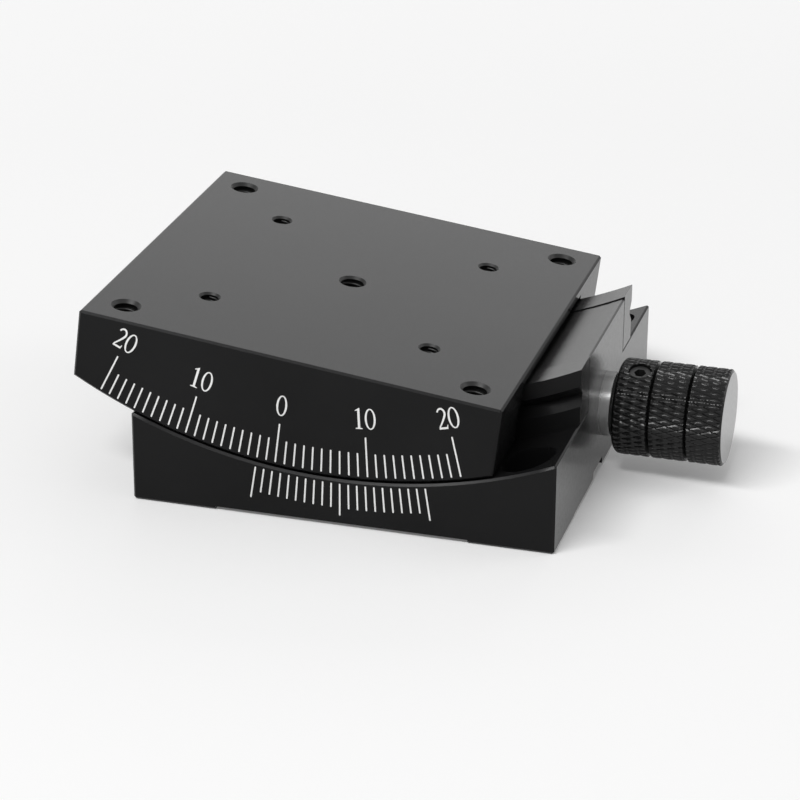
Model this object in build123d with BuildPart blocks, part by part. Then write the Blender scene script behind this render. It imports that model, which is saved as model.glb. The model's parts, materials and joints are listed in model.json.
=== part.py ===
from build123d import *
from math import asin, atan, cos, degrees, hypot, pi, radians, sin, sqrt, tan
import os

# Goniometer stage: a table that swings about an axis in the air above it, on two curved
# crossed-roller ways, driven by a worm and a toothed sector. Millimetres and degrees.
# X runs along the swing and the knob, Y along the swing axis, Z up. The origin is at the
# centre of the underside, and the scale faces -Y.

# Overall sizes
stage_length = 60.0
stage_width = 60.0
centre_height = 60.0        # swing axis above the table top
plate_lip = 1.5             # thickness left at the thin ends of the table plate
edge_break = 0.3            # chamfer on the outer edges
tilt_limit = 20.0           # travel to each side of level
rest_tilt = 7.0             # where the table stands now

# Curved ways
rail_height = 7.55
rail_thickness = 5.0
rib_half_width = 11.4       # raised middle rib of the base
ceiling_gap = 0.35          # table ceiling over the inner rails
rail_proud = 0.15           # inner rails above the rib
cheek_gap = 0.3             # table cheeks over the base shoulders
flank_gap = 0.8             # between an inner rail and its outer rail
roller_size = 2.5           # side of the square channel that the rollers run in
roller_clearance = 0.02
roller_end_clearance = 0.05
rollers_per_way = 8
cage_thickness = 0.5
cage_height = 5.2
cage_window_clearance = 0.1
cage_end_margin = 0.4       # degrees of rail left past a cage at full travel
roller_end_margin = 1.3     # degrees from a cage's end to its first roller

# Worm and sector
module = 0.5
worm_pitch_radius = 5.7
worm_turns = 5              # odd, so that a ridge stands straight up at mid-length
pressure_angle = 20.0
flank_backlash = 0.06
root_depth = 0.625          # below the pitch line
sector_width = 7.0
sector_web = 0.65           # brass behind the teeth
sector_spaces = 16          # tooth spaces to each side of the middle one
worm_reach = 4.5            # degrees that the worm's ends need past the travel
worm_headroom = 0.25        # ceiling groove over the worm's tips
thread_embed = 0.2

# Worm chamber, bearings and shaft
chamber_clearance = 0.3
chamber_end = 16.0          # step at the knob end of the chamber
sleeve_radius = 4.6
sleeve_stand = 1.8          # how far the sleeve stands out of the base
journal_radius = 3.0
tail_radius = 2.5
running_clearance = 0.04
collar_radius = 4.0
washer_thickness = 0.8
washer_radius = 5.5
end_float = 0.05
tail_clearance = 0.2        # between the shaft's end and the plug
overrun = 1.0               # how far a cutter runs past the face it starts from
bush_length = 8.3
plug_length = 5.0
plug_socket = 5.0           # across flats
plug_socket_depth = 3.0

# Knob
knob_radius = 6.87
knob_length = 15.7
knob_gap = 0.3              # between the sleeve and the knob
knob_groove_depth = 0.4
knob_groove_width = 0.7
knob_groove_places = (5.3, 10.6)
knob_inner_chamfer = 1.1
knob_outer_chamfer = 0.5
spigot_length = 12.0
spigot_gap = 0.1            # between the shaft's end and the knob's blind bore
set_screw_radius = 1.5
set_screw_length = 4.0
set_screw_place = 3.1       # from the knob's inner end
set_screw_lean = 16.0       # from straight up towards the scale side
set_screw_socket = 1.5      # across flats
spigot_flat = 0.3

# Underside
cover_inset = 0.9
cover_thickness = 2.0
worm_to_cover = 0.5
cover_length = 40.0
cover_width = 16.4
cover_fit = 0.05
cover_ledge_x = 6.0
cover_ledge_y = 3.2
cover_screw_inset_x = 3.0
cover_screw_inset_y = 2.2
cover_screw_radius = 1.0
cover_screw_head = 1.9
cover_screw_length = 4.4
relief_depth = 0.5
pad_reach = 7.0             # from a base bolt in to the edge of its pad
pry_slot_width = 5.6
pry_slot_height = 1.5
pry_slot_y = -3.4

# Fastening
base_bolt_inset = 5.0       # from the block's sides
base_bolt_radius = 2.25
base_bolt_head_radius = 3.75
base_bolt_seat = 5.5
table_bolt_inset = 5.0
table_bolt_radius = 1.65
table_bolt_mouth = 2.1
table_bolt_depth = 8.0
small_bolt_inset = 14.0
small_bolt_radius = 1.25
small_bolt_mouth = 1.55
small_bolt_depth = 5.0
centre_bolt_radius = 1.65
centre_bolt_mouth = 2.0
centre_bolt_depth = 5.5
rail_screw_places = (-18.0, 18.0)
screw_fit = 0.02
inner_screw_radius = 1.25
inner_screw_head_radius = 2.25
inner_screw_head_height = 2.5
inner_screw_length = 8.0
inner_screw_seat = 3.9
inner_screw_inset = 2.0     # from the rib to the screw line
outer_screw_radius = 1.0
outer_screw_head_radius = 1.9
outer_screw_head_height = 2.0
outer_screw_length = 8.0
outer_screw_inset = 2.0     # from the cheek to the screw line
head_clearance = 0.25
preload_angles = (-10.0, 10.0)
preload_screw_radius = 1.5
preload_screw_length = 5.0
stop_pin_radius = 1.5
stop_pin_length = 8.0
stop_pin_stand = 1.9
stop_pin_y = 9.0
stop_clearance = 0.2

# Radii about the swing axis
ceiling_radius = hypot(centre_height + plate_lip, stage_length / 2)
inner_rail_radius = ceiling_radius + ceiling_gap
rib_radius = inner_rail_radius + rail_proud
shoulder_radius = inner_rail_radius + rail_height
cheek_radius = shoulder_radius - cheek_gap
outer_rail_end = ceiling_radius + rail_height
groove_radius = (ceiling_radius + inner_rail_radius + rail_height) / 2
sector_teeth = round(2 * (ceiling_radius - module) / module)
pitch_radius = sector_teeth * module / 2
tooth_angle = 360 / sector_teeth

# Heights above the underside
worm_tip_radius = worm_pitch_radius + module
worm_root_radius = worm_pitch_radius - root_depth
cover_seat = cover_inset + cover_thickness
worm_height = cover_seat + worm_to_cover + worm_tip_radius
axis_height = worm_height + worm_pitch_radius + pitch_radius
chamber_radius = worm_tip_radius + chamber_clearance

# Places across the stage
inner_flank = rib_half_width + rail_thickness
outer_flank = inner_flank + flank_gap
cheek_inside = outer_flank + rail_thickness
channel_y = inner_flank + flank_gap / 2
inner_screw_y = rib_half_width + inner_screw_inset
outer_screw_y = cheek_inside - outer_screw_inset

# Angles
way_half_angle = degrees(asin(stage_length / 2 / groove_radius))
cage_half_angle = way_half_angle - tilt_limit / 2 - cage_end_margin
roller_pitch = 2 * (cage_half_angle - roller_end_margin) / (rollers_per_way - 1)
sector_half_angle = (sector_spaces + 0.5) * tooth_angle
worm_turn = rest_tilt * sector_teeth

swing_axis = Axis((0, 0, axis_height), (0, 1, 0))
shaft_axis = Axis((0, 0, worm_height), (1, 0, 0))
shaft_plane = Plane(origin=(0, 0, worm_height), x_dir=(1, 0, 0), z_dir=(0, -1, 0))
length_half = stage_length / 2


def swung(angle):
    # A frame on the swing axis, turned about it.
    return Location((0, 0, axis_height), (0, angle, 0))


def upright(place, y):
    # The plane along the stage at one width, with its origin on the swing axis.
    return Plane(place * Plane.XZ.offset(-y).location)


def level(place, height):
    # The plane across the stage at one height from the swing axis.
    return Plane(place * Plane.XY.offset(height).location)


def section(angle):
    # The plane through the swing axis where local x is Y and local y is the radius.
    lean = radians(angle)
    return Plane(
        origin=(0, 0, axis_height), x_dir=(0, 1, 0), z_dir=(-cos(lean), 0, sin(lean))
    )


def arc_height(radius, x):
    # Height of an arc about the swing axis, measured from that axis.
    return -sqrt(radius**2 - x**2)


def arc_face(place, y, inner_radius, outer_radius, length):
    # The stretch of a ring under the swing axis that a piece of this length takes.
    with BuildSketch(upright(place, y), mode=Mode.PRIVATE) as face:
        Circle(outer_radius)
        Circle(inner_radius, mode=Mode.SUBTRACT)
        with Locations((0, -outer_radius)):
            Rectangle(length, outer_radius, mode=Mode.INTERSECT)
    return face.sketch


def under_arc(y, radius):
    # The base's side outline: a rectangle from the underside up to an arc.
    with BuildSketch(upright(swung(0), y), mode=Mode.PRIVATE) as face:
        with Locations((0, -axis_height)):
            Rectangle(stage_length, axis_height, align=(Align.CENTER, Align.MIN))
        Circle(radius, mode=Mode.SUBTRACT)
        with Locations((0, -axis_height)):
            Rectangle(stage_length, axis_height / 2, align=(Align.CENTER, Align.MIN),
                      mode=Mode.INTERSECT)
    return face.sketch


def channel_face(angle, y):
    # The square channel of a crossed-roller way, standing on its corner.
    with BuildSketch(section(angle), mode=Mode.PRIVATE) as face:
        with Locations((y, groove_radius)):
            Rectangle(roller_size, roller_size, rotation=45)
    return face.sketch


def sweep_about_axis(face, angle, mode):
    revolve(face, axis=swing_axis, revolution_arc=angle, mode=mode)


def cut_channel(y):
    reach = 2 * way_half_angle
    sweep_about_axis(channel_face(rest_tilt - reach, y), 2 * reach, Mode.SUBTRACT)


def socket(plane, across_flats, depth):
    # A hexagon socket cut down from a plane.
    with BuildSketch(plane, mode=Mode.PRIVATE) as hexagon:
        RegularPolygon(across_flats / 2, 6, major_radius=False)
    extrude(hexagon.sketch, amount=-depth, mode=Mode.SUBTRACT)


def peg(plane, radius, length):
    # A plain cylinder that rises from a plane.
    with BuildSketch(plane, mode=Mode.PRIVATE) as circle:
        Circle(radius)
    extrude(circle.sketch, amount=length)


def bore(plane, radius, length):
    with BuildSketch(plane, mode=Mode.PRIVATE) as circle:
        Circle(radius)
    extrude(circle.sketch, amount=length, mode=Mode.SUBTRACT)


def ring(start, end, inner_radius, outer_radius, mode=Mode.ADD):
    # A turned ring on the shaft's line, between two places along it.
    with BuildSketch(shaft_plane, mode=Mode.PRIVATE) as half:
        with Locations((start, inner_radius)):
            Rectangle(end - start, outer_radius - inner_radius, align=Align.MIN)
    revolve(half.sketch, axis=shaft_axis, mode=mode)


def corner_places(inset):
    # Four places on a rectangle, each so far in from two sides of the stage.
    return GridLocations(stage_length - 2 * inset, stage_width - 2 * inset, 2, 2)


def save(piece, name):
    piece.part.label = name
    export_step(piece.part, f"parts/{name}.step")


os.makedirs("parts", exist_ok=True)

# Base block: wide shoulders under the table cheeks, and a raised rib between the rails.
base_place = swung(0)
with BuildPart() as base_block:
    extrude(under_arc(stage_width / 2, shoulder_radius), amount=stage_width)
    extrude(under_arc(rib_half_width, rib_radius), amount=2 * rib_half_width)
    by_x = base_block.faces().sort_by(Axis.X)
    by_y = base_block.faces().sort_by(Axis.Y)
    outer_faces = ShapeList([by_x[0], by_x[-1], by_y[0], by_y[-1]])
    chamfer(outer_faces.edges(), edge_break)
    # four pads under the corners
    pad_size = base_bolt_inset + pad_reach
    with BuildSketch(Plane.XY):
        Rectangle(stage_length - 2 * pad_size, 2 * stage_width)
        Rectangle(2 * stage_length, stage_width - 2 * pad_size)
    extrude(amount=relief_depth, mode=Mode.SUBTRACT)
    # worm chamber from the plain end, and the sleeve's seat at the knob end
    ring(-stage_length, chamber_end, 0, chamber_radius, Mode.SUBTRACT)
    ring(0, stage_length, 0, sleeve_radius, Mode.SUBTRACT)
    # cover recess and the opening above it
    with BuildSketch(Plane.XY):
        Rectangle(cover_length, cover_width)
    extrude(amount=cover_seat, mode=Mode.SUBTRACT)
    with BuildSketch(Plane.XY):
        Rectangle(cover_length - 2 * cover_ledge_x, cover_width - 2 * cover_ledge_y)
    extrude(amount=worm_height, mode=Mode.SUBTRACT)
    # shallow slot from the knob end in to the cover, to lift it out
    slot_length = length_half - cover_length / 2 + edge_break
    with BuildSketch(Plane.XY):
        with Locations((length_half + edge_break, pry_slot_y)):
            Rectangle(slot_length, pry_slot_width, align=(Align.MAX, Align.CENTER))
    extrude(amount=pry_slot_height, mode=Mode.SUBTRACT)
    # base bolts, sunk below the arc of the shoulders
    with corner_places(base_bolt_inset) as bolts:
        for bolt in bolts.locations:
            bolt_plane = Plane(bolt)
            bore(bolt_plane, base_bolt_radius, axis_height)
            bore(bolt_plane.offset(base_bolt_seat), base_bolt_head_radius, axis_height)
    # inner rail screws come up from below
    for side in (-1, 1):
        for x in rail_screw_places:
            screw_line = Plane((x, side * inner_screw_y, 0))
            bore(screw_line, inner_screw_radius + head_clearance / 2, axis_height / 2)
            bore(screw_line, inner_screw_head_radius + head_clearance, inner_screw_seat)
    # threads of the two cover screws, at opposite corners
    cover_screw_x = cover_length / 2 - cover_screw_inset_x
    cover_screw_y = cover_width / 2 - cover_screw_inset_y
    cover_screw_places = ((-cover_screw_x, -cover_screw_y), (cover_screw_x, cover_screw_y))
    for x, y in cover_screw_places:
        bore(Plane((x, y, cover_seat)), cover_screw_radius, cover_screw_length - cover_thickness)
    # stop pin
    stop_pin_foot = axis_height - rib_radius + stop_pin_stand - stop_pin_length
    bore(Plane((0, stop_pin_y, stop_pin_foot)), stop_pin_radius, stop_pin_length)
save(base_block, "base_block")

# Inner rails, on the shoulders and against the rib.
for name, side in (("front_inner_rail", -1), ("rear_inner_rail", 1)):
    far_face = max(side * rib_half_width, side * inner_flank)
    with BuildPart() as inner_rail:
        extrude(
            arc_face(base_place, far_face, inner_rail_radius, shoulder_radius, stage_length),
            amount=rail_thickness,
        )
        cut_channel(side * channel_y)
        for x in rail_screw_places:
            screw_line = Plane((x, side * inner_screw_y, 0))
            bore(screw_line, inner_screw_radius, inner_screw_seat + inner_screw_length + screw_fit)
    save(inner_rail, name)

with BuildPart() as inner_rail_screws:
    for side in (-1, 1):
        for x in rail_screw_places:
            seat = Plane((x, side * inner_screw_y, inner_screw_seat))
            peg(seat, inner_screw_radius - screw_fit, inner_screw_length)
            peg(seat.offset(-inner_screw_head_height), inner_screw_head_radius, inner_screw_head_height)
save(inner_rail_screws, "inner_rail_screws")

# Cover of the worm chamber, with countersunk screws.
with BuildPart() as worm_cover:
    with BuildSketch(Plane.XY.offset(cover_inset)):
        Rectangle(cover_length - 2 * cover_fit, cover_width - 2 * cover_fit)
    extrude(amount=cover_thickness)
    chamfer(worm_cover.faces().sort_by(Axis.Z)[0].edges(), edge_break)
    for x, y in cover_screw_places:
        with Locations(Plane(origin=(x, y, cover_inset), z_dir=(0, 0, -1))):
            CounterSinkHole(cover_screw_radius, cover_screw_head, counter_sink_angle=90)
save(worm_cover, "worm_cover")

with BuildPart() as worm_cover_screws:
    head = cover_screw_head - screw_fit
    shank = cover_screw_radius - screw_fit
    for x, y in cover_screw_places:
        with BuildSketch(Plane(origin=(x, y, cover_inset), x_dir=(1, 0, 0), z_dir=(0, -1, 0))):
            with BuildLine():
                Polyline(
                    (0, 0), (head, 0), (shank, head - shank),
                    (shank, cover_screw_length), (0, cover_screw_length), close=True,
                )
            make_face()
        revolve(axis=Axis((x, y, cover_inset), (0, 0, 1)))
save(worm_cover_screws, "worm_cover_screws")

# Bearing sleeve: pressed into the knob end, its collar shows behind the knob.
with BuildPart() as bearing_sleeve:
    sleeve_end = length_half + sleeve_stand
    ring(chamber_end, sleeve_end, journal_radius + running_clearance, sleeve_radius)
    collar_rims = bearing_sleeve.edges().filter_by(GeomType.CIRCLE).group_by(Axis.X)[-1]
    chamfer(collar_rims.sort_by(SortBy.RADIUS)[-1], edge_break)
save(bearing_sleeve, "bearing_sleeve")

# Far end of the shaft: bush, then the plug that closes the chamber and sets the end play.
plug_face = -length_half + edge_break
plug_seat = plug_face + plug_length
bush_seat = plug_seat + bush_length
with BuildPart() as end_bush:
    ring(plug_seat, bush_seat, tail_radius + running_clearance, chamber_radius)
save(end_bush, "end_bush")

with BuildPart() as end_plug:
    ring(plug_face, plug_seat, 0, chamber_radius)
    plug_front = Plane(origin=(plug_face, 0, worm_height), z_dir=(-1, 0, 0))
    socket(plug_front, plug_socket, plug_socket_depth)
save(end_plug, "end_plug")

# Thrust washer between the shaft's collar and the sleeve.
collar_end = chamber_end - washer_thickness - 2 * end_float
far_collar_end = bush_seat + end_float
with BuildPart() as thrust_washer:
    ring(collar_end + end_float, chamber_end - end_float, journal_radius + 2 * running_clearance,
         washer_radius)
save(thrust_washer, "thrust_washer")

with BuildPart() as stop_pin:
    peg(Plane((0, stop_pin_y, stop_pin_foot)), stop_pin_radius - screw_fit, stop_pin_length)
save(stop_pin, "stop_pin")

# Worm shaft: one right-hand thread of straight flanks on a turned shaft.
pitch = pi * module
thread_length = worm_turns * pitch
ridge_width = pitch / 2 - flank_backlash
flank_slope = tan(radians(pressure_angle))
thread_foot = worm_root_radius - thread_embed


def ridge_half(radius):
    return ridge_width / 2 + (worm_pitch_radius - radius) * flank_slope


with BuildPart() as worm_thread:
    with BuildLine() as thread_path:
        Helix(pitch, thread_length, worm_pitch_radius, center=(0, 0, -thread_length / 2))
    thread_start = Plane(origin=(0, 0, -thread_length / 2), x_dir=(1, 0, 0), z_dir=(0, -1, 0))
    with BuildSketch(thread_start):
        with BuildLine():
            Polyline(
                (thread_foot, -ridge_half(thread_foot)),
                (worm_tip_radius, -ridge_half(worm_tip_radius)),
                (worm_tip_radius, ridge_half(worm_tip_radius)),
                (thread_foot, ridge_half(thread_foot)),
                close=True,
            )
        make_face()
    sweep(path=thread_path.wires()[0], is_frenet=True)

# The thread stands with a ridge straight up at mid-length when the table is level.
worm_place = (
    Location((0, 0, worm_height), (worm_turn, 0, 0))
    * Location((0, 0, 0), (0, 90, 0))
)
knob_start = sleeve_end + knob_gap
spigot_end = knob_start + spigot_length
tail_end = plug_seat + tail_clearance
core_half = thread_length / 2 + pitch / 2
lean = radians(set_screw_lean)
screw_out = Vector(0, -sin(lean), cos(lean))
set_screw_x = knob_start + set_screw_place
flat_radius = tail_radius - spigot_flat


def set_screw_plane(radius):
    # Square to the set screw, at a distance from the shaft's line.
    return Plane(
        origin=Vector(set_screw_x, 0, worm_height) + screw_out * radius,
        x_dir=(1, 0, 0),
        z_dir=screw_out,
    )


with BuildPart() as worm_shaft:
    ring(tail_end, far_collar_end, 0, tail_radius)
    ring(far_collar_end, -core_half, 0, collar_radius)
    ring(-core_half, core_half, 0, worm_root_radius)
    ring(core_half, collar_end, 0, collar_radius)
    ring(collar_end, knob_start, 0, journal_radius)
    ring(knob_start, spigot_end, 0, tail_radius)
    shaft_tips = worm_shaft.edges().filter_by(GeomType.CIRCLE).group_by(Axis.X)
    chamfer(shaft_tips[0] + shaft_tips[-1], edge_break)
    add(worm_place * worm_thread.part)
    # flat for the knob's set screw
    with BuildSketch(set_screw_plane(flat_radius)):
        Rectangle(2 * set_screw_radius + overrun, 2 * tail_radius)
    extrude(amount=tail_radius, mode=Mode.SUBTRACT)
save(worm_shaft, "worm_shaft")

# Knob: three bands between two grooves, blind bore, one set screw.
with BuildPart() as knob:
    knob_end = knob_start + knob_length
    ring(knob_start, knob_end, 0, knob_radius)
    rims = knob.edges().filter_by(GeomType.CIRCLE).sort_by(Axis.X)
    chamfer(rims[0], knob_inner_chamfer)
    chamfer(knob.edges().filter_by(GeomType.CIRCLE).sort_by(Axis.X)[-1], knob_outer_chamfer)
    for groove in knob_groove_places:
        middle = knob_start + groove
        ring(
            middle - knob_groove_width / 2, middle + knob_groove_width / 2,
            knob_radius - knob_groove_depth, knob_radius + overrun, Mode.SUBTRACT,
        )
    ring(knob_start, spigot_end + spigot_gap, 0, tail_radius, Mode.SUBTRACT)
    bore(set_screw_plane(0), set_screw_radius, knob_radius)
save(knob, "knob")

with BuildPart() as knob_set_screw:
    peg(set_screw_plane(flat_radius), set_screw_radius - screw_fit, set_screw_length)
    screw_top = set_screw_plane(flat_radius + set_screw_length)
    socket(screw_top, set_screw_socket, set_screw_length / 2)
save(knob_set_screw, "knob_set_screw")

# Table block, tilted with its own frame on the swing axis.
table_place = swung(rest_tilt)
table_top = level(table_place, -centre_height)
sector_back = pitch_radius - root_depth - sector_web
sector_tip = pitch_radius + module
stop_depth_radius = rib_radius - stop_pin_stand - 2 * stop_clearance
worm_top_radius = pitch_radius - module - worm_headroom
stop_half_angle = tilt_limit + degrees(asin((stop_pin_radius + stop_clearance) / rib_radius))


def arc_groove(y, width, half_angle, floor_radius):
    # A groove in the table's ceiling, centred under the table.
    with BuildSketch(section(rest_tilt - half_angle), mode=Mode.PRIVATE) as face:
        with Locations((y, floor_radius)):
            Rectangle(width, rail_height / 2, align=(Align.CENTER, Align.MIN))
    sweep_about_axis(face.sketch, 2 * half_angle, Mode.SUBTRACT)


def outer_screw_plane(x, side, height):
    # Plane square to an outer rail screw, so far above its head's seat.
    seat = arc_height(outer_rail_end, x) + outer_screw_head_height + head_clearance
    return Plane(table_place * Location((x, side * outer_screw_y, seat + height)))


with BuildPart() as table_block:
    with BuildSketch(upright(table_place, stage_width / 2)):
        Circle(cheek_radius)
        with Locations((0, -centre_height)):
            Rectangle(stage_length, cheek_radius, align=(Align.CENTER, Align.MAX),
                      mode=Mode.INTERSECT)
    extrude(amount=stage_width)
    by_y = table_block.faces().sort_by(Axis.Y)
    by_z = table_block.faces().sort_by(Axis.Z)
    chamfer(ShapeList([by_y[0], by_y[-1], by_z[-1]]).edges(), edge_break)
    # recess for the ways
    extrude(
        arc_face(table_place, cheek_inside, ceiling_radius, cheek_radius + overrun, 2 * stage_length),
        amount=2 * cheek_inside,
        mode=Mode.SUBTRACT,
    )
    arc_groove(0, sector_width, sector_half_angle, sector_back)
    arc_groove(0, sector_width, tilt_limit + worm_reach, worm_top_radius)
    arc_groove(stop_pin_y, 2 * (stop_pin_radius + stop_clearance), stop_half_angle, stop_depth_radius)
    # tapped holes, drilled to the thread's core with a chamfered mouth
    with Locations(table_top):
        with corner_places(table_bolt_inset):
            CounterSinkHole(table_bolt_radius, table_bolt_mouth, table_bolt_depth, 90)
        with corner_places(small_bolt_inset):
            CounterSinkHole(small_bolt_radius, small_bolt_mouth, small_bolt_depth, 90)
        CounterSinkHole(centre_bolt_radius, centre_bolt_mouth, centre_bolt_depth, 90)
    for side in (-1, 1):
        for x in rail_screw_places:
            bore(outer_screw_plane(x, side, 0), outer_screw_radius, outer_screw_length + screw_fit)
    # preload screws push the rear outer rail towards the rollers
    for angle in preload_angles:
        entry = Plane(section(rest_tilt + angle).location * Location((0, groove_radius, 0)))
        start = Plane(origin=entry.origin + Vector(0, cheek_inside, 0), z_dir=(0, 1, 0))
        bore(start, preload_screw_radius, stage_width)
save(table_block, "table_block")

# Outer rails, screwed up to the ceiling inside the cheeks.
for name, side in (("front_outer_rail", -1), ("rear_outer_rail", 1)):
    far_face = max(side * outer_flank, side * cheek_inside)
    with BuildPart() as outer_rail:
        extrude(
            arc_face(table_place, far_face, ceiling_radius, outer_rail_end, stage_length),
            amount=rail_thickness,
        )
        cut_channel(side * channel_y)
        for x in rail_screw_places:
            seat = outer_screw_plane(x, side, 0)
            bore(seat, outer_screw_radius + head_clearance / 2, rail_height)
            bore(seat.offset(-rail_height), outer_screw_head_radius + head_clearance / 2, rail_height)
    save(outer_rail, name)

with BuildPart() as outer_rail_screws:
    for side in (-1, 1):
        for x in rail_screw_places:
            seat = outer_screw_plane(x, side, 0)
            head_face = seat.offset(-outer_screw_head_height)
            peg(seat, outer_screw_radius - screw_fit, outer_screw_length)
            peg(head_face, outer_screw_head_radius, outer_screw_head_height)
save(outer_rail_screws, "outer_rail_screws")

with BuildPart() as preload_screws:
    for angle in preload_angles:
        entry = Plane(section(rest_tilt + angle).location * Location((0, groove_radius, 0)))
        start = Plane(origin=entry.origin + Vector(0, cheek_inside, 0), z_dir=(0, 1, 0))
        peg(start, preload_screw_radius - screw_fit, preload_screw_length)
save(preload_screws, "preload_screws")

# Toothed sector: brass, let into the ceiling, with slots at the worm's lead angle.
lead_angle = degrees(atan(module / (2 * worm_pitch_radius)))
space_width = pitch / 2 + flank_backlash


def space_half(radius):
    return space_width / 2 + (radius - pitch_radius) * flank_slope


with BuildPart() as tooth_space:
    root = pitch_radius - root_depth
    past_tip = sector_tip + module
    across = Plane(origin=(0, 0, 0), x_dir=(1, 0, 0), z_dir=(0, 1, 0))
    with BuildSketch(across):
        with BuildLine():
            Polyline(
                (-space_half(root), root), (space_half(root), root),
                (space_half(past_tip), past_tip), (-space_half(past_tip), past_tip),
                close=True,
            )
        make_face()
    extrude(amount=sector_width, both=True)

with BuildPart() as worm_sector:
    with BuildSketch(section(rest_tilt - sector_half_angle)):
        with Locations((0, sector_back)):
            Rectangle(sector_width, sector_tip - sector_back, align=(Align.CENTER, Align.MIN))
    revolve(axis=swing_axis, revolution_arc=2 * sector_half_angle)
    for space in range(-sector_spaces, sector_spaces + 1):
        turn_about_radius = Location((0, 0, 0), (0, 0, lead_angle))
        place = swung(rest_tilt + space * tooth_angle) * turn_about_radius
        add(place * tooth_space.part, mode=Mode.SUBTRACT)
save(worm_sector, "worm_sector")

# Cages and rollers: they follow the table at half its angle.
cage_tilt = rest_tilt / 2
roller_radius = roller_size / 2 - roller_clearance
roller_length = roller_size - 2 * roller_end_clearance
window_width = 2 * (roller_radius + cage_window_clearance)
window_height = roller_size * sqrt(2) + 2 * cage_window_clearance


def roller_places():
    # The angle of each roller about the swing axis, and which way it is crossed.
    for index in range(rollers_per_way):
        offset = (index - (rollers_per_way - 1) / 2) * roller_pitch
        yield cage_tilt + offset, 1 if index % 2 == 0 else -1


for name, side in (("front", -1), ("rear", 1)):
    y = side * channel_y
    with BuildPart() as cage:
        with BuildSketch(section(cage_tilt - cage_half_angle)):
            with Locations((y, groove_radius)):
                Rectangle(cage_thickness, cage_height)
        revolve(axis=swing_axis, revolution_arc=2 * cage_half_angle)
        for angle, _ in roller_places():
            centre = section(angle).location * Location((y, groove_radius, 0))
            with Locations(centre):
                Box(2 * cage_thickness, window_height, window_width, mode=Mode.SUBTRACT)
    save(cage, f"{name}_cage")
    with BuildPart() as rollers:
        for angle, crossing in roller_places():
            middle = section(angle).location * Location((y, groove_radius, 0))
            tipped = middle * Location((0, 0, 0), (0, 0, 45 * crossing)) * Location((0, 0, 0), (0, 90, 0))
            peg(Plane(tipped).offset(-roller_length / 2), roller_radius, roller_length)
    save(rollers, f"{name}_rollers")
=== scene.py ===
import json
import math

import bmesh
import bpy
from mathutils import Matrix, Vector


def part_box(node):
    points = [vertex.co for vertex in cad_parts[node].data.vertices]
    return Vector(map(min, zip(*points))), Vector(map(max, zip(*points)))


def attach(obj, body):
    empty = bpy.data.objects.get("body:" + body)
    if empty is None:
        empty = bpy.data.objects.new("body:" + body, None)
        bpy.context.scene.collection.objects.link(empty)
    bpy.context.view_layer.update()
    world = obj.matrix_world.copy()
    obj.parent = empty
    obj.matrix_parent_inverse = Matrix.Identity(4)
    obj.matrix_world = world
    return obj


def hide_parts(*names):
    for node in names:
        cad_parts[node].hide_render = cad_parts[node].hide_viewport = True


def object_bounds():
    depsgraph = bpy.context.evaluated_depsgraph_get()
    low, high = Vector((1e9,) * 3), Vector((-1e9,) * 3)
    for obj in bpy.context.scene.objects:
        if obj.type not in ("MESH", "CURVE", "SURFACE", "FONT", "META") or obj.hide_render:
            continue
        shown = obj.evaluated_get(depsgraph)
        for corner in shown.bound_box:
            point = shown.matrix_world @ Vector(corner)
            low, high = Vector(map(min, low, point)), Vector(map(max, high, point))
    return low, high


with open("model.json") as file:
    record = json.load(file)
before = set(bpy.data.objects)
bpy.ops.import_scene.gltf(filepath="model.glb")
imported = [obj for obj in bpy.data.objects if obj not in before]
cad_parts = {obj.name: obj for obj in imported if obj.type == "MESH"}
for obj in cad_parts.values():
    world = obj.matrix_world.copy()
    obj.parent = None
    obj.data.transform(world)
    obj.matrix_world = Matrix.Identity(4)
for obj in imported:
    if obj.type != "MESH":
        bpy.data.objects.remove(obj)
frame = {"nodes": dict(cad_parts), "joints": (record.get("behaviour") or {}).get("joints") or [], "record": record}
cadLow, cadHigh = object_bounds()
mm = 0.001
weldDistance = 1e-7                 # points closer than this become one

# Places that the frame gives
joints = {joint["name"]: joint for joint in frame["joints"]}
tiltAxisHeight = joints["table_tilt"]["pos_m"][2]
shaftHeight = joints["worm_spin"]["pos_m"][2]
knobLow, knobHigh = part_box("knob")

stage = {
    "restTilt": 7,                  # degrees, where the table stands in the frame
    "tableToAxis": 60 * mm,
    "tableEdgeRadius": 76.03 * mm,  # lower edge of the table's cheeks
    "ribTop": 68.93 * mm,           # raised middle of the base, about the swing axis
}
front = cadLow.y                    # both scales lie on this face
tableTurn = (
    Matrix.Translation((0, 0, tiltAxisHeight))
    @ Matrix.Rotation(math.radians(stage["restTilt"]), 4, "Y")
)

# What all finishes share
texture = {
    "ior": 1.45,                    # where a finish names none
    "cloudScale": 60,
    "cloudDetail": 4,
    "grainDetail": 3,
    "noiseSpan": (0.3, 0.7),        # most of a noise's values lie between these
}


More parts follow.
